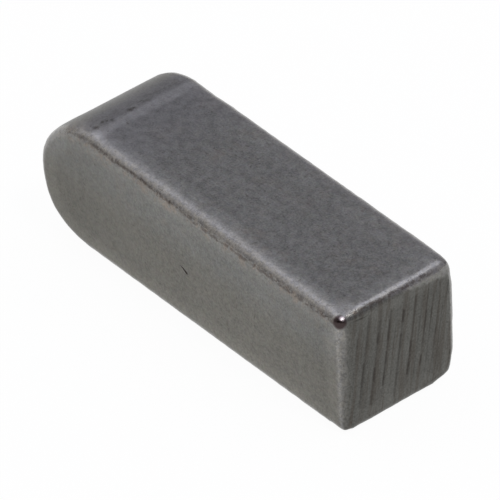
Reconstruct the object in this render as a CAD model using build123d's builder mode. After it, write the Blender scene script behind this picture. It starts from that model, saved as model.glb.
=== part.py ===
"""Parallel key with one half-round end and one square end, lying on one of its side faces.

Millimetres. X runs along the key towards the square end, Y through the height of the key and
Z across its width. The origin is below the middle of the key, on the side face that it lies on.
"""
from build123d import *
import os

# Driving dimensions of the key
key_length = 16.0  # over the half-round end and the square end
key_width = 5.0  # between the two side faces, which fit the sides of the keyway
key_height = 5.0  # between the front face and the back face, which lie in shaft and hub
front_edge_radius = 0.37  # rounding along the front face and around the half-round end
back_edge_radius = 0.50  # fuller rounding along the back face and around the half-round end
end_edge_radius = 0.36  # broken edges of the sawn square end

# Places that follow from the driving dimensions
round_end_radius = key_width / 2
round_end_x = -key_length / 2
square_end_x = key_length / 2
round_end_centre_x = round_end_x + round_end_radius


def edges_along_profile(profile_face):
    """The edges of a front or back face, apart from the one that it shares with the square end."""
    return profile_face.edges().sort_by(Axis.X)[:-1]


with BuildPart() as parallel_key:
    # The profile stands upright: both side faces run into the half circle without a step
    with BuildSketch(Plane.XZ) as profile:
        with BuildLine() as outline:
            Polyline(
                (round_end_centre_x, key_width),
                (square_end_x, key_width),
                (square_end_x, 0),
                (round_end_centre_x, 0),
            )
            ThreePointArc(
                (round_end_centre_x, 0),
                (round_end_x, round_end_radius),
                (round_end_centre_x, key_width),
            )
        make_face()
    extrude(amount=key_height / 2, both=True)

    # One unbroken rounding follows each face of the profile, from one side face round the
    # half circle to the other, and the back one is fuller than the front one
    back_face = parallel_key.faces().sort_by(Axis.Y)[-1]
    fillet(edges_along_profile(back_face), radius=back_edge_radius)
    front_face = parallel_key.faces().sort_by(Axis.Y)[0]
    fillet(edges_along_profile(front_face), radius=front_edge_radius)

    # The square end is rounded last, so that its edges turn the rounded corners of the section
    square_end = parallel_key.faces().sort_by(Axis.X)[-1]
    fillet(square_end.edges(), radius=end_edge_radius)

os.makedirs("parts", exist_ok=True)
parallel_key.part.label = "parallel_key"
export_step(parallel_key.part, "parts/parallel_key.step")
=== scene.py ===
"""Parallel key with one half-round end and one square end, lying on a pale table in soft light.

Blender metres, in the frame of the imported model: X runs along the key towards the square end,
Y through its height from the front face to the back face, and Z up across its width.
"""
import math
import random
from types import SimpleNamespace

import bmesh
import bpy
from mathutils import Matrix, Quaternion, Vector


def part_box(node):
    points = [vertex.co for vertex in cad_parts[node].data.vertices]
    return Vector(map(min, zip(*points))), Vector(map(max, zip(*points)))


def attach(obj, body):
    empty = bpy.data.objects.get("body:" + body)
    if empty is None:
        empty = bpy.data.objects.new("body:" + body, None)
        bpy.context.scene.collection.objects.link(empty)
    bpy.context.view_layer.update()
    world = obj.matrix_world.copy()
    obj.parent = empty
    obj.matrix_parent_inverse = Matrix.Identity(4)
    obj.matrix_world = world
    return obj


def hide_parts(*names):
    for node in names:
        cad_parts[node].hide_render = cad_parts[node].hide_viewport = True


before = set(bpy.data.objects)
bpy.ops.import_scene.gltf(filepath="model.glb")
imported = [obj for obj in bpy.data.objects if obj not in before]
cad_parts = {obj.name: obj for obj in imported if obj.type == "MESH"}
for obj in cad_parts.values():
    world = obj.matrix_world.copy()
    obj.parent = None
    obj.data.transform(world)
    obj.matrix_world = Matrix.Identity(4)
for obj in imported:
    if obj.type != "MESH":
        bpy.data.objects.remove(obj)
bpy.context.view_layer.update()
key_low, key_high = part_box("parallel_key")

mm = 0.001
same_place = 0.002 * mm  # how near two places count as one
cut_slack = 0.0005 * mm  # how near to a cut a vertex is taken as part of it

# The key's main sizes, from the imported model
key_height = key_high.y - key_low.y
key_width = key_high.z - key_low.z
mid_z = (key_high.z + key_low.z) / 2
round_end_radius = key_width / 2
round_end_centre_x = key_low.x + round_end_radius

# Rounding of the edges
front_edge_radius = 0.37 * mm
back_edge_radius = 0.50 * mm
end_edge_radius = 0.36 * mm
rounding_steps = 10

# How finely the faces are divided
round_end_steps = 96
rows_along = 160
rows_through_height = 45
rows_across_width = 47

# Saw marks on the square end: (place through the height at mid width, half width, depth) in mm.
# They lean towards the back at the top.
saw_lean = math.radians(9.6)
saw_marks = [
    (-1.97, 0.06, 0.008),
    (-1.55, 0.09, 0.021),
    (-1.04, 0.10, 0.024),
    (-0.58, 0.08, 0.020),
    (-0.30, 0.04, 0.007),
    (0.00, 0.09, 0.020),
    (0.49, 0.09, 0.022),
    (0.78, 0.05, 0.010),
    (1.03, 0.06, 0.016),
    (1.27, 0.05, 0.013),
    (1.56, 0.05, 0.012),
    (1.75, 0.04, 0.008),
]
saw_margin = 0.05 * mm  # flat strip left between the marks and the roundings
saw_rows = 40
saw_stretches = 8  # each mark changes its depth this many times
dirtiest_mark, dirtiest_depth = 0.7, 0.028  # most dirt in a mark, and the depth in mm for dirt of 1

# Small pits in a row across the upper side, where the half circle starts:
# (x, y, radius, depth) in mm
pits = [
    (-5.63, -1.89, 0.085, 0.016),
    (-5.69, -1.56, 0.05, 0.006),
    (-5.64, -1.42, 0.05, 0.007),
    (-5.56, -1.26, 0.06, 0.005),
    (-5.59, -0.43, 0.08, 0.014),
    (-5.58, -0.27, 0.05, 0.007),
]

# Faint ridge along the start of the half circle, in mm
ridge_rise, ridge_reach = 0.017, 0.42

# Painted reflection on the near upper corner of the square end: a dark spot for the dark room, with a
# painted highlight at its tip:
# (x, y, z) of both middles in mm
oil_bead = (7.81, -2.37, 4.69)
bright_tip = (7.80, -2.25, 4.79)

# Nick in the front face, from one end to the other: (x, z) in mm
nick_start, nick_end = (-0.52, 2.36), (-0.21, 2.20)
nick_steps = ((0.042, 0.8), (0.025, 1.0))  # half width in mm and dirt of each of its two steps
nick_step_depth = 0.015 * mm

# How far the tumbling softened the run-outs of the roundings, and the rims of the square end
softened_reach = 0.85 * mm
front_rim, back_rim, upper_rim = 0.42 * mm, 0.54 * mm, 0.40 * mm
far_corner_reach = 1.0 * mm

chance = random.Random(5)


# ---------------------------------------------------------------- modelling helpers

def in_metres(*place_in_mm):
    return tuple(number * mm for number in place_in_mm)


def select_only(obj):
    bpy.ops.object.select_all(action="DESELECT")
    obj.select_set(True)
    bpy.context.view_layer.objects.active = obj


def pick(kind, wanted):
    """In edit mode, selects the vertices, edges or faces that the test wants, and nothing else."""
    mesh = bpy.context.object.data
    bpy.ops.mesh.select_mode(type={"verts": "VERT", "edges": "EDGE", "faces": "FACE"}[kind])
    bpy.ops.mesh.select_all(action="DESELECT")
    shape = bmesh.from_edit_mesh(mesh)
    chosen = 0
    for part in getattr(shape, kind):
        if wanted(part):
            part.select_set(True)
            chosen += 1
    shape.select_flush_mode()
    bmesh.update_edit_mesh(mesh, loop_triangles=False, destructive=False)
    return chosen


def near(a, b, slack=same_place):
    return abs(a - b) < slack


def middle(edge):
    return (edge.verts[0].co + edge.verts[1].co) / 2


def runs_along(edge, axis):
    """True if the edge is parallel to that axis, 0 for X, 1 for Y and 2 for Z."""
    way = edge.verts[1].co - edge.verts[0].co
    return abs(way[axis]) > 0.9999 * way.length


def on_face(edge, axis, place):
    return near(edge.verts[0].co[axis], place) and near(edge.verts[1].co[axis], place)


def move_softly(move, reach, falloff="SMOOTH"):
    """Moves what is selected, and what lies within reach of it by less and less."""
    bpy.ops.transform.translate(
        value=move, use_proportional_edit=True, use_proportional_connected=False,
        proportional_edit_falloff=falloff, proportional_size=reach,
    )


def push(place, reach, move, dirt=0.0, falloff="SMOOTH"):
    """Moves the vertex nearest to the place, and those within reach of it by less and less."""
    place = Vector(place)
    shape = bmesh.from_edit_mesh(bpy.context.object.data)
    nearest = min(shape.verts, key=lambda v: (v.co - place).length_squared).co.copy()
    pick("verts", lambda v: (v.co - nearest).length < same_place / 2)
    move_softly(move, reach, falloff)
    if dirt:
        for share, amount in ((0.75, 0.35), (0.5, 0.7), (0.3, 1.0)):
            pick("verts", lambda v: (v.co - nearest).length < share * reach)
            stain(amount * dirt)


def refine_around(place, reach, cuts):
    pick("faces", lambda f: (f.calc_center_median() - place).length < reach)
    bpy.ops.mesh.subdivide(number_cuts=cuts)


def divide(axis, longer_than, cuts):
    pick("edges", lambda e: runs_along(e, axis) and e.calc_length() > longer_than)
    bpy.ops.mesh.subdivide(number_cuts=cuts)


def soften(passes, wanted):
    pick("verts", wanted)
    bpy.ops.mesh.vertices_smooth(factor=0.5, repeat=passes)


def stain(amount):
    """Marks the selected vertices as dirty, for the finish to darken."""
    mesh = bpy.context.object.data
    shape = bmesh.from_edit_mesh(mesh)
    dirt = shape.verts.layers.float["dirt"]
    for vertex in shape.verts:
        if vertex.select:
            vertex[dirt] = max(vertex[dirt], amount)
    bmesh.update_edit_mesh(mesh, loop_triangles=False, destructive=False)


# ---------------------------------------------------------------- the key

def straight_bar():
    """The square bar from the start of the half circle to the square end."""
    start, end = round_end_centre_x, key_high.x
    bpy.ops.object.select_all(action="DESELECT")
    bpy.ops.mesh.primitive_cube_add(
        size=1,
        location=((start + end) / 2, 0, mid_z),
        scale=(end - start, key_height, key_width),
    )
    key = bpy.context.object
    key.name = key.data.name = "key_bar"
    bpy.ops.object.transform_apply(location=True, rotation=True, scale=True)
    return key


def turn_round_end():
    """Swings the upper edge of the bar's open side round to its lower edge, and closes both faces."""
    pick("faces", lambda f: near(f.calc_center_median().x, round_end_centre_x))
    bpy.ops.mesh.delete(type="ONLY_FACE")
    pick("edges", lambda e: runs_along(e, 1)
         and near(middle(e).x, round_end_centre_x) and near(middle(e).z, key_high.z))
    bpy.ops.mesh.spin(
        steps=round_end_steps, angle=math.pi,
        center=(round_end_centre_x, 0, mid_z), axis=(0, 1, 0),
    )
    bpy.ops.mesh.select_all(action="SELECT")
    bpy.ops.mesh.remove_doubles(threshold=same_place)
    for side in (key_low.y, key_high.y):
        pick("edges", lambda e: on_face(e, 1, side) and middle(e).x < round_end_centre_x + same_place)
        bpy.ops.mesh.edge_face_add()
    bpy.ops.mesh.select_all(action="SELECT")
    bpy.ops.mesh.normals_make_consistent(inside=False)


def round_edges(key):
    """Rounds the edges along the front and back faces and round the square end."""

    def square_end(edge):
        return on_face(edge, 0, key_high.x)

    def tangent_line(edge):
        return runs_along(edge, 2) and near(middle(edge).x, round_end_centre_x)

    for side, radius in ((key_low.y, front_edge_radius), (key_high.y, back_edge_radius)):
        pick("edges", lambda e: on_face(e, 1, side) and not tangent_line(e) and not square_end(e))
        bpy.ops.transform.edge_bevelweight(value=radius / back_edge_radius)
    pick("edges", square_end)
    bpy.ops.transform.edge_bevelweight(value=end_edge_radius / back_edge_radius)
    bpy.ops.object.mode_set(mode="OBJECT")
    rounding = key.modifiers.new("rounding", "BEVEL")
    rounding.limit_method = "WEIGHT"
    rounding.offset_type = "OFFSET"
    rounding.width = back_edge_radius
    rounding.segments = rounding_steps
    rounding.profile = 0.5
    bpy.ops.object.modifier_apply(modifier=rounding.name)
    bpy.ops.object.mode_set(mode="EDIT")


def saw_the_end():
    """Cuts the leaning saw marks into the square end, each one a shallow groove of uneven depth."""
    low = key_low.y + front_edge_radius + saw_margin
    high = key_high.y - back_edge_radius - saw_margin
    bottom = key_low.z + end_edge_radius + saw_margin
    top = key_high.z - end_edge_radius - saw_margin
    across = Vector((0, math.cos(saw_lean), -math.sin(saw_lean)))

    def flat_end(face):
        return near(face.calc_center_median().x, key_high.x) and face.normal.x > 0.999

    def inside(face):
        centre = face.calc_center_median()
        return flat_end(face) and low < centre.y < high and bottom < centre.z < top

    pick("faces", flat_end)
    bpy.ops.mesh.inset(thickness=saw_margin)
    for place, half_width, depth in saw_marks:
        centre = Vector((key_high.x, place * mm, mid_z))
        for shift in (-half_width, half_width, 0):
            pick("faces", inside)
            bpy.ops.mesh.bisect(
                plane_co=centre + across * shift * mm, plane_no=across, threshold=cut_slack,
            )
    for row in range(1, saw_rows):
        pick("faces", inside)
        height = bottom + (top - bottom) * row / saw_rows
        bpy.ops.mesh.bisect(plane_co=(0, 0, height), plane_no=(0, 0, 1), threshold=cut_slack)
    for place, half_width, depth in saw_marks:
        centre = Vector((key_high.x, place * mm, mid_z))
        start, end = bottom + chance.uniform(0.0, 0.5) * mm, top - chance.uniform(0.0, 0.3) * mm
        for stretch in range(saw_stretches):
            z0 = start + (end - start) * stretch / saw_stretches
            z1 = start + (end - start) * (stretch + 1) / saw_stretches
            found = pick("verts", lambda v: near(v.co.x, key_high.x) and z0 <= v.co.z < z1
                         and abs((v.co - centre).dot(across)) < same_place)
            shallower = 0.5 if stretch in (0, saw_stretches - 1) else 1
            uneven = chance.uniform(0.35, 1.2) * shallower
            if found:
                bpy.ops.transform.translate(value=(-depth * uneven * mm, 0, 0))
                stain(min(dirtiest_mark, depth * uneven / dirtiest_depth))


def divide_faces():
    """Divides the long flat faces into small even ones, and the two half-round ones into a grid."""
    divide(0, 10 * mm, rows_along)
    divide(1, 3 * mm, rows_through_height)
    divide(2, 3 * mm, rows_across_width)
    many_sided = 20
    for side in (key_low.y, key_high.y):
        pick("faces", lambda f: len(f.verts) > many_sided and near(f.calc_center_median().y, side))
        bpy.ops.mesh.delete(type="ONLY_FACE")
        pick("edges", lambda e: len(e.link_faces) == 1 and on_face(e, 1, side))
        bpy.ops.mesh.fill_grid(span=round_end_steps // 4)


def group_edges():
    """Puts the rounded edges in a vertex group, so that they can be worn unevenly."""

    def on_edge(vertex):
        facing = vertex.normal
        flat = max(abs(facing.x), abs(facing.y), abs(facing.z)) > 0.9995
        on_round_wall = vertex.co.x <= round_end_centre_x and abs(facing.y) <= 0.02
        return not flat and not on_round_wall

    pick("verts", on_edge)
    bpy.ops.object.vertex_group_add()
    bpy.ops.object.vertex_group_assign()
    bpy.context.object.vertex_groups.active.name = "edges"


def below_wall(co):
    """How far a place lies inside the wall that runs round the key, the square end left out."""
    if co.x > round_end_centre_x:
        return min(key_high.z - co.z, co.z - key_low.z)
    return round_end_radius - math.hypot(co.x - round_end_centre_x, co.z - mid_z)


def soften_edges():
    """Softens the roundings where they run out into the faces, most of all at the front upper edge."""

    def in_front(vertex, reach=softened_reach):
        return vertex.co.y - key_low.y < reach

    def behind(vertex, reach=softened_reach):
        return key_high.y - vertex.co.y < reach

    def upper(vertex, reach=softened_reach):
        return key_high.z - vertex.co.z < reach

    def at_end(vertex):
        return key_high.x - vertex.co.x < softened_reach

    def by_wall(vertex):
        return below_wall(vertex.co) < softened_reach

    def on_rim(vertex):
        return in_front(vertex, front_rim) or behind(vertex, back_rim) or upper(vertex, upper_rim)

    def high_enough(vertex, how_high):
        if vertex.co.x > round_end_centre_x:
            return upper(vertex)
        return vertex.co.z - mid_z > how_high * round_end_radius

    soften(5, lambda v: (in_front(v) or behind(v)) and by_wall(v))
    soften(8, lambda v: on_rim(v) and at_end(v))
    soften(8, lambda v: in_front(v, front_rim) and at_end(v))
    # Round the half circle the wear fades out towards its middle
    for how_high in (0.25, 0.40, 0.55, 0.70, 0.85):
        soften(9, lambda v: in_front(v) and by_wall(v) and high_enough(v, how_high))
    for far_corner in (Vector(key_high), Vector((key_high.x, key_high.y, key_low.z))):
        soften(14, lambda v: (v.co - far_corner).length < far_corner_reach)
    for start in (-5.5, -4.5, -3.5):
        soften(8, lambda v: behind(v) and upper(v) and start * mm < v.co.x < 7.3 * mm)


def raise_tangent_line():
    """The half circle was ground to a faint ridge where it meets the upper side."""
    ridge = round_end_centre_x + 0.05 * mm
    pick("verts", lambda v: near(v.co.x, ridge, 0.05 * mm) and below_wall(v.co) < 0.3 * mm
         and v.co.z > mid_z)
    move_softly((0, 0, ridge_rise * mm), ridge_reach * mm)


def press_pits():
    """Sinks the row of small pits into the upper side, each with two lesser dents beside it."""
    for x, y, radius, depth in pits:
        past = min(0, x * mm - round_end_centre_x)
        height = mid_z + math.sqrt(round_end_radius**2 - past**2)
        place = Vector((x * mm, y * mm, height))
        refine_around(place, 2.2 * radius * mm, 2)
        push(place, 2.1 * radius * mm, (0, 0, -depth * mm), dirt=0.7)
        for share in (0.8, 0.6):
            way = chance.uniform(0, 2 * math.pi)
            beside = place + Vector((math.cos(way), math.sin(way), 0)) * 0.9 * radius * mm
            push(beside, 1.2 * share * radius * mm, (0, 0, -0.5 * depth * mm), dirt=0.6 * share)


def cut_nick():
    """Cuts the short nick into the front face, in two steps."""
    start = Vector((nick_start[0] * mm, key_low.y, nick_start[1] * mm))
    end = Vector((nick_end[0] * mm, key_low.y, nick_end[1] * mm))
    refine_around((start + end) / 2, 0.28 * mm, 3)

    def inside(co, half_width):
        """The nick is wider towards its lower end."""
        along = max(0, min(1, (co - start).dot(end - start) / (end - start).length_squared))
        off = (co - start - (end - start) * along).length
        return off < half_width * (0.6 + along) * mm

    for half_width, dirt in nick_steps:
        pick("verts", lambda v: inside(v.co, half_width))
        stain(dirt)
        bpy.ops.transform.translate(value=(0, nick_step_depth, 0))


def raise_bead():
    """Domes the surface of the corner where the dark reflection is painted."""
    place = Vector(oil_bead) * mm
    refine_around(place, 0.40 * mm, 1)
    push(place, 0.30 * mm, in_metres(0.030, -0.030, 0.026), falloff="SPHERE")


def wear_ends():
    """Wears the corners of the square end unequally, and leaves the round end fuller in front."""
    end, front, back, bottom, top = key_high.x, key_low.y, key_high.y, key_low.z, key_high.z
    worn_places = [
        # place in metres, reach and move in mm
        ((end, back, bottom), 1.3, (-0.05, -0.09, 0.05)),
        ((end, 0.6 * mm, bottom), 2.0, (-0.015, 0, 0.03)),
        ((end, back, 1.5 * mm), 1.5, (-0.01, -0.025, 0)),
        ((end, back, top), 1.0, (-0.02, -0.03, -0.01)),
        ((end, front, bottom), 0.6, (0.01, -0.02, -0.02)),
    ]
    # The front upper edge drops more and more towards the square end
    for x, drop in ((8.0, 0.050), (5.0, 0.025), (2.0, 0.020), (-1.0, 0.010)):
        worn_places.append(((x * mm, front, top), 4.5, (0, -0.6 * drop, -drop)))
    worn_places += [
        ((key_low.x, front, mid_z), 2.6, (-0.18, 0, 0)),
        ((-7.2 * mm, front, 0.9 * mm), 1.9, (-0.10, -0.05, -0.08)),
    ]
    for place, reach, move in worn_places:
        push(place, reach * mm, in_metres(*move))


def settle_outline():
    """The far upper edge stands up a little, and the half circle is a little flatter above."""
    pick("verts", lambda v: v.co.y > 2.2 * mm and v.co.z > 4.8 * mm
         and -3.5 * mm < v.co.x < 7.4 * mm)
    move_softly(in_metres(0, 0.015, 0.045), 1.2 * mm)
    pick("verts", lambda v: near(v.co.x, -7.27 * mm, 0.05 * mm) and v.co.z > mid_z)
    move_softly(in_metres(0.008, 0, -0.006), 1.5 * mm)


def make_uneven(key, name, size, strength, group=""):
    """Makes the surface slightly wavy."""
    waves = bpy.data.textures.new(name, "CLOUDS")
    waves.noise_scale = size
    waves.noise_depth = 2
    change = key.modifiers.new(name, "DISPLACE")
    change.texture = waves
    change.texture_coords = "LOCAL"
    change.direction = "NORMAL"
    change.strength = strength
    change.mid_level = 0.5
    change.vertex_group = group
    bpy.ops.object.modifier_apply(modifier=change.name)


def key_bar():
    key = straight_bar()
    select_only(key)
    bpy.ops.geometry.attribute_add(name="dirt", domain="POINT", data_type="FLOAT")
    bpy.ops.object.mode_set(mode="EDIT")
    turn_round_end()
    round_edges(key)
    saw_the_end()
    divide_faces()
    group_edges()
    soften_edges()
    raise_tangent_line()
    press_pits()
    cut_nick()
    raise_bead()
    wear_ends()
    settle_outline()
    bpy.ops.object.mode_set(mode="OBJECT")
    make_uneven(key, "uneven_edges", 0.30 * mm, 0.024 * mm, "edges")
    make_uneven(key, "wavy_faces", 1.8 * mm, 0.006 * mm)
    bpy.ops.object.shade_smooth()
    return key


# ---------------------------------------------------------------- finishing helpers

def put(tree, socket, value):
    if isinstance(value, bpy.types.NodeSocket):
        tree.links.new(value, socket)
    else:
        socket.default_value = value


def work(tree, kind, a, b=0.0):
    """A sum: kind is what a Math node does with a and b."""
    node = tree.nodes.new("ShaderNodeMath")
    node.operation = kind
    put(tree, node.inputs[0], a)
    put(tree, node.inputs[1], b)
    return node.outputs[0]


def times(tree, *values):
    result = values[0]
    for value in values[1:]:
        result = work(tree, "MULTIPLY", result, value)
    return result


def total(tree, *values):
    result = values[0]
    for value in values[1:]:
        result = work(tree, "ADD", result, value)
    return result


def without(tree, part):
    """How much of the surface's direction is left without that part of it."""
    return work(tree, "SQRT", work(tree, "SUBTRACT", 1.0, times(tree, part, part)))


def separated(tree, vector):
    node = tree.nodes.new("ShaderNodeSeparateXYZ")
    tree.links.new(vector, node.inputs[0])
    return node.outputs


def placed(tree, coords, scale=(1, 1, 1), turn=(0, 0, 0), shift=(0, 0, 0)):
    node = tree.nodes.new("ShaderNodeMapping")
    tree.links.new(coords, node.inputs["Vector"])
    node.inputs["Location"].default_value = shift
    node.inputs["Rotation"].default_value = turn
    node.inputs["Scale"].default_value = scale
    return node.outputs[0]


def grain(tree, coords, scale, detail=2.0, coarse=0.5, kind="Fac"):
    """Cloudy noise of that many lumps in a millimetre."""
    node = tree.nodes.new("ShaderNodeTexNoise")
    tree.links.new(coords, node.inputs["Vector"])
    node.inputs["Scale"].default_value = scale
    node.inputs["Detail"].default_value = detail
    node.inputs["Roughness"].default_value = coarse
    return node.outputs[kind]


def ramp(tree, value, start, end, low=0.0, high=1.0):
    """low up to start, high from end on, and smooth between them."""
    node = tree.nodes.new("ShaderNodeMapRange")
    node.interpolation_type = "SMOOTHSTEP"
    put(tree, node.inputs["Value"], value)
    for name, number in (("From Min", start), ("From Max", end), ("To Min", low), ("To Max", high)):
        node.inputs[name].default_value = number
    return node.outputs[0]


def strip(tree, value, rise, fall):
    """1 between two places and 0 outside: rise and fall each say where it is 0 and where 1."""
    return times(tree, ramp(tree, value, *rise), ramp(tree, value, *fall))


def distance(tree, coords, place):
    node = tree.nodes.new("ShaderNodeVectorMath")
    node.operation = "DISTANCE"
    tree.links.new(coords, node.inputs[0])
    node.inputs[1].default_value = place
    return node.outputs["Value"]


def blend(tree, mask, under, over, kind="MIX"):
    """Colour over, laid on colour under where the mask is 1."""
    node = tree.nodes.new("ShaderNodeMix")
    node.data_type = "RGBA"
    node.blend_type = kind
    put(tree, node.inputs[0], mask)
    put(tree, node.inputs[6], under)
    put(tree, node.inputs[7], over)
    return node.outputs[2]


def layered(tree, colour, layers):
    """Lays one colour after another over the first: layers are (mask, colour)."""
    for mask, over in layers:
        colour = blend(tree, mask, colour, over)
    return colour


# ---------------------------------------------------------------- the steel

# Steel of the faces, with a browner one and a cooler one in patches
grey_steel = (0.168, 0.167, 0.157, 1)
brown_steel = (0.175, 0.162, 0.143, 1)
cool_steel = (0.166, 0.168, 0.167, 1)
dingy_steel = (0.148, 0.143, 0.127, 1)
blued_steel = (0.157, 0.156, 0.164, 1)
# Sawn end: its own duller steel, made darker also as painted shade
sawn_and_shaded_steel = (0.125, 0.124, 0.115, 1)

# Steel of the rounded edges
bright_steel = (0.220, 0.216, 0.213, 1)
warm_bright_steel = (0.246, 0.237, 0.221, 1)

# What lies on the steel, and the reflections painted on it
rust_brown = (0.25, 0.185, 0.14, 1)
speck_brown = (0.06, 0.053, 0.045, 1)
saw_dirt = (0.062, 0.046, 0.034, 1)
smear_brown = (0.06, 0.055, 0.045, 1)
# Old oil, also standing in for the dark reflection along the roundings
oil_and_dark_reflection_brown = (0.067, 0.050, 0.043, 1)
pit_dirt = (0.035, 0.027, 0.022, 1)
# Painted reflection of the dark room on the near upper corner, and a painted highlight at its tip
bead_oil = (0.062, 0.046, 0.046, 1)
tip_shine = (0.62, 0.55, 0.56, 1)

steel_roughness = 0.42
relief_height = 0.004 * mm

# The key's sizes as the finish reads them, in mm
half_key_height, half_key_width = 2.5, 2.5
square_end_x, circle_centre_x = 8.0, -5.5

# The line of old oil, which also paints the dark reflection along the roundings, in mm: how far it lies
# inside the wall, at its left and right parts, and its height on the square end
left_line_depth, right_line_depth = 0.25, 0.37
end_line_height = 4.835


def steel_surface(tree):
    """Where each place of the key is, in mm, which way it faces, and the grain of its surface."""
    coords = tree.nodes.new("ShaderNodeTexCoord")
    skin = SimpleNamespace()
    skin.in_mm = placed(tree, coords.outputs["Object"], scale=(1 / mm, 1 / mm, 1 / mm))
    skin.x, skin.y, skin.z = separated(tree, skin.in_mm)
    skin.nx, skin.ny, skin.nz = separated(tree, coords.outputs["Normal"])
    skin.on_front = ramp(tree, skin.ny, -0.3, -0.8)

    # From broad clouds to fine grit
    skin.clouds = grain(tree, skin.in_mm, 0.45)
    skin.mottle = grain(tree, skin.in_mm, 3.2, 3)
    skin.grit = grain(tree, skin.in_mm, 13.0, 4, 0.7)
    skin.specks = ramp(tree, grain(tree, skin.in_mm, 7.5, 3), 0.60, 0.74)
    skin.wobble = work(tree, "SUBTRACT", grain(tree, skin.in_mm, 5.0, 3, 0.6), 0.5)
    skin.coarser = ramp(tree, skin.x, -5.0, -1.0, 0.70, 1.0)

    # Dirt in the saw marks, pits and nick
    dirt = tree.nodes.new("ShaderNodeAttribute")
    dirt.attribute_name = "dirt"
    skin.grime = dirt.outputs["Fac"]
    return skin


def find_edges(tree, skin):
    """The rounded edges, 1 half-way round a rounding and 0 on the faces, and what lies beside them."""
    across_long_edge = times(tree, work(tree, "ABSOLUTE", skin.ny), without(tree, skin.ny))
    across_end_edge = times(tree, work(tree, "MAXIMUM", skin.nx, 0.0), without(tree, skin.nx))
    skin.edge = work(tree, "MAXIMUM", ramp(tree, across_long_edge, 0.04, 0.40),
                     ramp(tree, across_end_edge, 0.04, 0.40))
    skin.near_upright = times(tree, ramp(tree, work(tree, "ABSOLUTE", skin.nz), 0.35, 0.05),
                              ramp(tree, skin.y, -1.0, -2.0))
    skin.near_corner = times(tree, ramp(tree, skin.x, 2.0, 7.0), ramp(tree, skin.y, 0.5, -1.5),
                             ramp(tree, skin.nz, 0.2, 0.5))
    skin.corner = ramp(
        tree, work(tree, "ABSOLUTE", times(tree, skin.nx, skin.ny, skin.nz)), 0.06, 0.16)

    # How far in from the front or back, from the wall round the key, and from the square end
    from_sides = work(tree, "SUBTRACT", half_key_height, work(tree, "ABSOLUTE", skin.y))
    past = work(tree, "MINIMUM", work(tree, "SUBTRACT", skin.x, circle_centre_x), 0.0)
    level = work(tree, "SUBTRACT", skin.z, half_key_width)
    from_axis = work(tree, "SQRT", total(tree, times(tree, past, past), times(tree, level, level)))
    skin.from_wall = work(tree, "SUBTRACT", half_key_width, from_axis)
    from_end = work(tree, "SUBTRACT", square_end_x, skin.x)

    # The strips of the faces beside the edges are worn, with a ragged border
    least = work(tree, "MINIMUM", from_sides, skin.from_wall)
    next_least = work(tree, "MINIMUM", work(tree, "MAXIMUM", from_sides, skin.from_wall), from_end)
    to_edge = total(tree, work(tree, "MAXIMUM", least, next_least), times(tree, skin.wobble, 0.6))
    skin.worn = times(tree, ramp(tree, to_edge, 1.00, 0.55), ramp(tree, skin.edge, 0.0, 0.6, 1.0, 0.0))


def find_sawn_end(tree, skin):
    """The sawn part stops short of the end's rounded edges, and is streaked along the marks."""
    slanted = work(tree, "SUBTRACT", skin.y, times(tree, skin.z, 0.05))
    slope = total(tree, skin.z, times(tree, skin.y, 0.15))
    frayed = total(tree, slope, times(tree, skin.wobble, 0.25))
    skin.sawn = times(
        tree, ramp(tree, skin.nx, 0.35, 0.65), ramp(tree, slanted, -2.68, -2.25),
        ramp(tree, skin.y, 2.30, 2.14), ramp(tree, frayed, 4.83, 4.66),
    )
    along_saw = placed(tree, skin.in_mm, turn=(saw_lean, 0, 0))
    skin.streaks = grain(tree, placed(tree, along_saw, scale=(1.0, 4.6, 0.30)), 1.0, 4, 0.6)


def find_oil_and_painted_reflections(tree, skin):
    """A thin broken line of old oil, partly a painted dark reflection, runs low along the front and end
    roundings to the corner, where a dark reflection and a highlight are painted.
    """
    wavy_wall = total(tree, skin.from_wall, times(tree, skin.wobble, 0.22))
    line_depth = ramp(tree, skin.x, -3.0, 1.5, left_line_depth, right_line_depth)
    off_front_line = work(tree, "ABSOLUTE", work(tree, "SUBTRACT", wavy_wall, line_depth))
    front_line = times(
        tree, ramp(tree, off_front_line, 0.09, 0.015), ramp(tree, skin.y, -2.2, -2.35),
        ramp(tree, skin.z, 4.40, 4.58), ramp(tree, skin.x, 7.9, 7.7),
    )
    wavy_height = total(tree, skin.z, times(tree, skin.wobble, 0.16))
    off_end_line = work(tree, "ABSOLUTE", work(tree, "SUBTRACT", wavy_height, end_line_height))
    end_line = times(
        tree, ramp(tree, off_end_line, 0.065, 0.015), ramp(tree, skin.nx, 0.4, 0.6),
        ramp(tree, skin.y, 1.9, 1.2),
    )
    crumbs = ramp(tree, grain(tree, skin.in_mm, 7.0, 3, 0.6), 0.36, 0.56)
    # Old oil along the roundings, partly a painted dark reflection
    skin.oil_line = times(tree, work(tree, "MAXIMUM", front_line, end_line), crumbs,
                          ramp(tree, skin.x, -6.6, -4.5))

    # Painted reflection on the corner: a dark spot for the dark room, and a bright spot at its tip for a
    # lamp's glint
    from_bead = total(tree, distance(tree, skin.in_mm, oil_bead), times(tree, skin.wobble, 0.08))
    skin.bead = ramp(tree, from_bead, 0.31, 0.19)
    skin.tip = ramp(tree, distance(tree, skin.in_mm, bright_tip), 0.13, 0.02)


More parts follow.
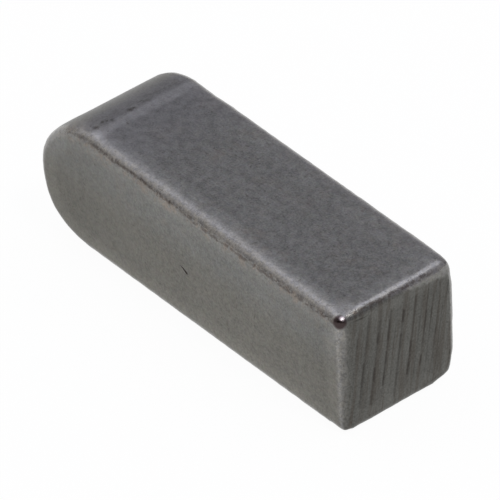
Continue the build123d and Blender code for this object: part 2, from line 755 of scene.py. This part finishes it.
def find_patches(tree, skin):
    """The dingy and the blued parts, the rust, and the ridge with a row of smears beside it."""
    sinking = total(tree, skin.z, times(tree, skin.wobble, 1.5))
    skin.dingy = times(tree, skin.on_front, ramp(tree, sinking, 3.9, 2.3))
    skin.blued = times(tree, ramp(tree, skin.x, -1.5, -5.0), ramp(tree, skin.z, 4.80, 4.95))

    rusty = ramp(tree, grain(tree, skin.in_mm, 3.0, 4, 0.65), 0.48, 0.62)
    skin.rust = times(tree, strip(tree, skin.z, (4.20, 4.50), (4.80, 4.66)), skin.on_front, rusty)

    upper = ramp(tree, skin.nz, 0.90, 0.97)
    skin.ridge = times(tree, strip(tree, skin.x, (-5.62, -5.38), (-4.95, -5.20)), upper)
    smeared = grain(tree, placed(tree, skin.in_mm, scale=(6.0, 2.2, 2.0)), 1.0, 3, 0.6)
    skin.smears = times(tree, strip(tree, skin.x, (-6.05, -5.75), (-5.38, -5.56)), upper,
                        ramp(tree, smeared, 0.46, 0.62))


def patches(tree, skin, shift, scale, detail, coarse, start, end):
    """Soft patches of that many lumps in a millimetre, shifted so that no two patterns agree."""
    return ramp(tree, grain(tree, placed(tree, skin.in_mm, shift=shift), scale, detail, coarse), start, end)


def tone_and_painted_light(tree, skin):
    """How light the steel is at each place, where 1 leaves its colour as it is, with painted highlights and
    shade on the near edges and painted shade on the sawn end.
    """
    darker_ends = work(tree, "MINIMUM", ramp(tree, skin.x, 5.5, 7.2, 0.0, -0.09),
                       ramp(tree, skin.x, -3.0, -6.5, 0.0, -0.07))
    return total(
        tree,
        ramp(tree, skin.clouds, 0.3, 0.7, 0.96, 1.04),
        ramp(tree, skin.mottle, 0.3, 0.7, -0.11, 0.11),
        times(tree, ramp(tree, skin.grit, 0.25, 0.75, -0.26, 0.26), skin.coarser),
        times(tree, skin.worn, ramp(tree, skin.on_front, 0.0, 1.0, 0.14, 0.20)),
        times(tree, skin.ridge, 0.37),
        times(tree, skin.on_front, darker_ends),
        # Painted shade: the sawn end darker towards the back
        times(tree, skin.sawn, ramp(tree, skin.y, 0.0, 2.0, 0.0, -0.10)),
        # Painted highlight on the near upright edge, lighter towards the top
        times(tree, skin.edge, skin.near_upright, ramp(tree, skin.z, 3.5, 4.3, 0.06, 0.30)),
        # Painted highlight and shade across the near upright edge: lighter where it turns from the front,
        # darker on the end beside it
        times(tree, skin.near_upright, ramp(tree, skin.nx, 0.04, 0.20),
              ramp(tree, skin.nx, 0.45, 0.85, 0.04, -0.15)),
        # Painted highlight on the near upper edge towards the square end
        times(tree, skin.edge, skin.near_corner, 0.13),
    )


def steel_colour(tree, skin):
    """The steel in its patches, made lighter and darker by its tone and by painted light, with the dirt and
    the painted reflections on top.
    """
    tint = patches(tree, skin, (3, 7, 1), 0.9, 3, 0.6, 0.50, 0.70)
    flecks = patches(tree, skin, (5, 2, 9), 4.5, 2, 0.6, 0.40, 0.60)
    rubbed = patches(tree, skin, (8, 4, 6), 6.0, 3, 0.65, 0.42, 0.58)
    colour = layered(tree, grey_steel, [
        (times(tree, tint, 0.5), brown_steel),
        (times(tree, flecks, 0.35), cool_steel),
        (skin.dingy, dingy_steel),
    ])
    colour = blend(tree, 0.07, colour, grain(tree, skin.in_mm, 7.0, 3, 0.6, "Color"), "OVERLAY")
    colour = layered(tree, colour, [
        (times(tree, skin.blued, 0.5), blued_steel),
        (skin.edge, blend(tree, rubbed, bright_steel, warm_bright_steel)),
        # Sawn end, darker also as painted shade
        (skin.sawn, sawn_and_shaded_steel),
        (times(tree, skin.rust, 0.32), rust_brown),
    ])
    colour = blend(tree, 1.0, colour, tone_and_painted_light(tree, skin), "MULTIPLY")
    dark_streaks = ramp(tree, skin.streaks, 0.54, 0.40, 0.0, 0.36)
    return layered(tree, colour, [
        (times(tree, skin.specks, 0.45), speck_brown),
        (times(tree, skin.sawn, dark_streaks), saw_dirt),
        (times(tree, skin.smears, 0.30), smear_brown),
        # Old oil, and painted dark reflection, along the front and end roundings
        (times(tree, skin.oil_line, 0.62), oil_and_dark_reflection_brown),
        (times(tree, skin.grime, 0.8), pit_dirt),
        # Painted dark reflection and painted highlight on the corner
        (skin.bead, bead_oil),
        (skin.tip, tip_shine),
    ])


def steel_rough(tree, skin):
    """Polished on the edges and most of all on the corners, and rough where sawn or dirty."""
    return total(
        tree, steel_roughness,
        times(tree, skin.edge, -0.13),
        times(tree, skin.sawn, 0.12),
        ramp(tree, skin.mottle, 0.3, 0.7, -0.035, 0.035),
        times(tree, skin.grime, 0.2),
        times(tree, skin.corner, -0.06),
        times(tree, skin.tip, 0.08),
    )


def steel_relief(tree, skin):
    """The finest unevenness, which fades out under the painted dark spot on the corner and towards the half
    circle.
    """
    height = total(
        tree, times(tree, skin.grit, 0.6), times(tree, skin.mottle, 0.45),
        times(tree, skin.specks, -0.6), times(tree, skin.streaks, skin.sawn, 1.5),
    )
    bump = tree.nodes.new("ShaderNodeBump")
    bump.inputs["Distance"].default_value = relief_height
    put(tree, bump.inputs["Height"],
        times(tree, height, ramp(tree, skin.bead, 0.0, 1.0, 1.0, 0.05), skin.coarser))
    return bump.outputs["Normal"]


def key_steel():
    steel = bpy.data.materials.new("key_steel")
    steel.use_nodes = True
    tree = steel.node_tree
    shader = tree.nodes["Principled BSDF"]
    shader.inputs["Metallic"].default_value = 1
    skin = steel_surface(tree)
    find_edges(tree, skin)
    find_sawn_end(tree, skin)
    find_oil_and_painted_reflections(tree, skin)
    find_patches(tree, skin)
    put(tree, shader.inputs["Base Color"], steel_colour(tree, skin))
    put(tree, shader.inputs["Roughness"], steel_rough(tree, skin))
    put(tree, shader.inputs["Normal"], steel_relief(tree, skin))
    return steel


# ---------------------------------------------------------------- table, lamps and camera

table_size = 3
table_shine = 0.96  # share of what is seen of the table that is plain white, and takes no shadow
room_light = (0.12, 0.10, 0.10, 1)
daylight = (0.95, 0.98, 1.095)
lamp_distance = 0.5

# Softboxes and lamp: (name, azimuth, elevation, (width, height), brightness, colour).
# Angles are in degrees, and a brightness of 1 looks plain white from the key.
lamps = [
    ("overhead_softbox", 0, 90, (0.75, 0.75), 0.55, daylight),
    ("back_softbox", 215, 40, (0.8, 0.8), 0.325, daylight),
    ("low_back_softbox", 205, 18, (1.0, 0.28), 0.20, daylight),
    ("right_softbox", 130, 35, (0.65, 0.65), 0.46, daylight),
    ("left_upper_softbox", 276, 50, (0.45, 0.45), 0.65, daylight),
    ("left_middle_softbox", 300, 42, (0.45, 0.45), 0.34, (1, 1, 1)),
    ("left_lower_softbox", 314, 22, (0.40, 0.36), 0.58, (1, 1, 1)),
    ("low_left_softbox", 270, 13, (0.6, 0.26), 0.55, (1, 1, 1)),
    ("end_softbox", 168, 60, (0.36, 0.36), 0.72, daylight),
    ("small_lamp", 98, 62, (0.10, 0.10), 24, (1, 1, 1)),
]


def table_white():
    """Pale paint that looks plain white, and still takes a faint shadow."""
    paint = bpy.data.materials.new("table_white")
    paint.use_nodes = True
    tree = paint.node_tree
    tree.nodes.clear()
    rays = tree.nodes.new("ShaderNodeLightPath")
    seen = work(tree, "MAXIMUM", rays.outputs["Is Camera Ray"], rays.outputs["Is Glossy Ray"])
    seen = work(tree, "MAXIMUM", seen, rays.outputs["Is Transmission Ray"])
    card = tree.nodes.new("ShaderNodeBsdfDiffuse")
    card.inputs["Color"].default_value = (0.95, 0.95, 0.95, 1)
    white = tree.nodes.new("ShaderNodeEmission")
    white.inputs["Strength"].default_value = 1
    mix = tree.nodes.new("ShaderNodeMixShader")
    put(tree, mix.inputs[0], times(tree, seen, table_shine))
    put(tree, mix.inputs[1], card.outputs[0])
    put(tree, mix.inputs[2], white.outputs[0])
    out = tree.nodes.new("ShaderNodeOutputMaterial")
    put(tree, out.inputs["Surface"], mix.outputs[0])
    return paint


def pale_table():
    bpy.ops.object.select_all(action="DESELECT")
    bpy.ops.mesh.primitive_plane_add(size=table_size, location=(0, 0, 0))
    table = bpy.context.object
    table.name = "pale_table"
    table.data.materials.append(table_white())


def direction(azimuth, elevation):
    """From the key towards a place at that azimuth and elevation, in degrees. Azimuth 0 is in front."""
    a, e = math.radians(azimuth), math.radians(elevation)
    return Vector((math.sin(a) * math.cos(e), -math.cos(a) * math.cos(e), math.sin(e)))


def soft_lamp(name, azimuth, elevation, size, brightness, colour):
    """An oval softbox that looks that bright from the key."""
    way = direction(azimuth, elevation)
    lamp = bpy.data.lights.new(name, "AREA")
    lamp.shape = "ELLIPSE"
    lamp.size, lamp.size_y = size
    oval_area = math.pi * size[0] * size[1] / 4
    lamp.energy = brightness * math.pi * oval_area
    lamp.color = colour
    stand = bpy.data.objects.new(name, lamp)
    bpy.context.scene.collection.objects.link(stand)
    stand.location = way * lamp_distance
    stand.rotation_euler = (-way).to_track_quat("-Z", "Y").to_euler()


def studio_room():
    room = bpy.data.worlds.new("studio_room")
    bpy.context.scene.world = room
    room.use_nodes = True
    background = room.node_tree.nodes["Background"]
    background.inputs["Color"].default_value = room_light
    background.inputs["Strength"].default_value = 1


def camera():
    """A long lens looks down on the front face and the square end."""
    azimuth, elevation, roll = 52.24, 37.83, -2.65
    aim = Vector((0.2297, -0.0998, 2.1809)) * mm
    camera_distance = 449.18 * mm
    view = bpy.data.cameras.new("camera")
    view.sensor_width = 36
    view.lens = 960.5
    view.clip_start = 0.01
    stand = bpy.data.objects.new("camera", view)
    bpy.context.scene.collection.objects.link(stand)
    way = direction(azimuth, elevation)
    stand.location = aim + way * camera_distance
    turn = (-way).to_track_quat("-Z", "Y") @ Quaternion((0, 0, 1), math.radians(roll))
    stand.rotation_euler = turn.to_euler()
    bpy.context.scene.camera = stand


key = key_bar()
key.data.materials.append(key_steel())
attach(key, "root")
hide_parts("parallel_key")

pale_table()
studio_room()
for lamp_row in lamps:
    soft_lamp(*lamp_row)
camera()
bpy.context.scene.view_settings.view_transform = "Standard"
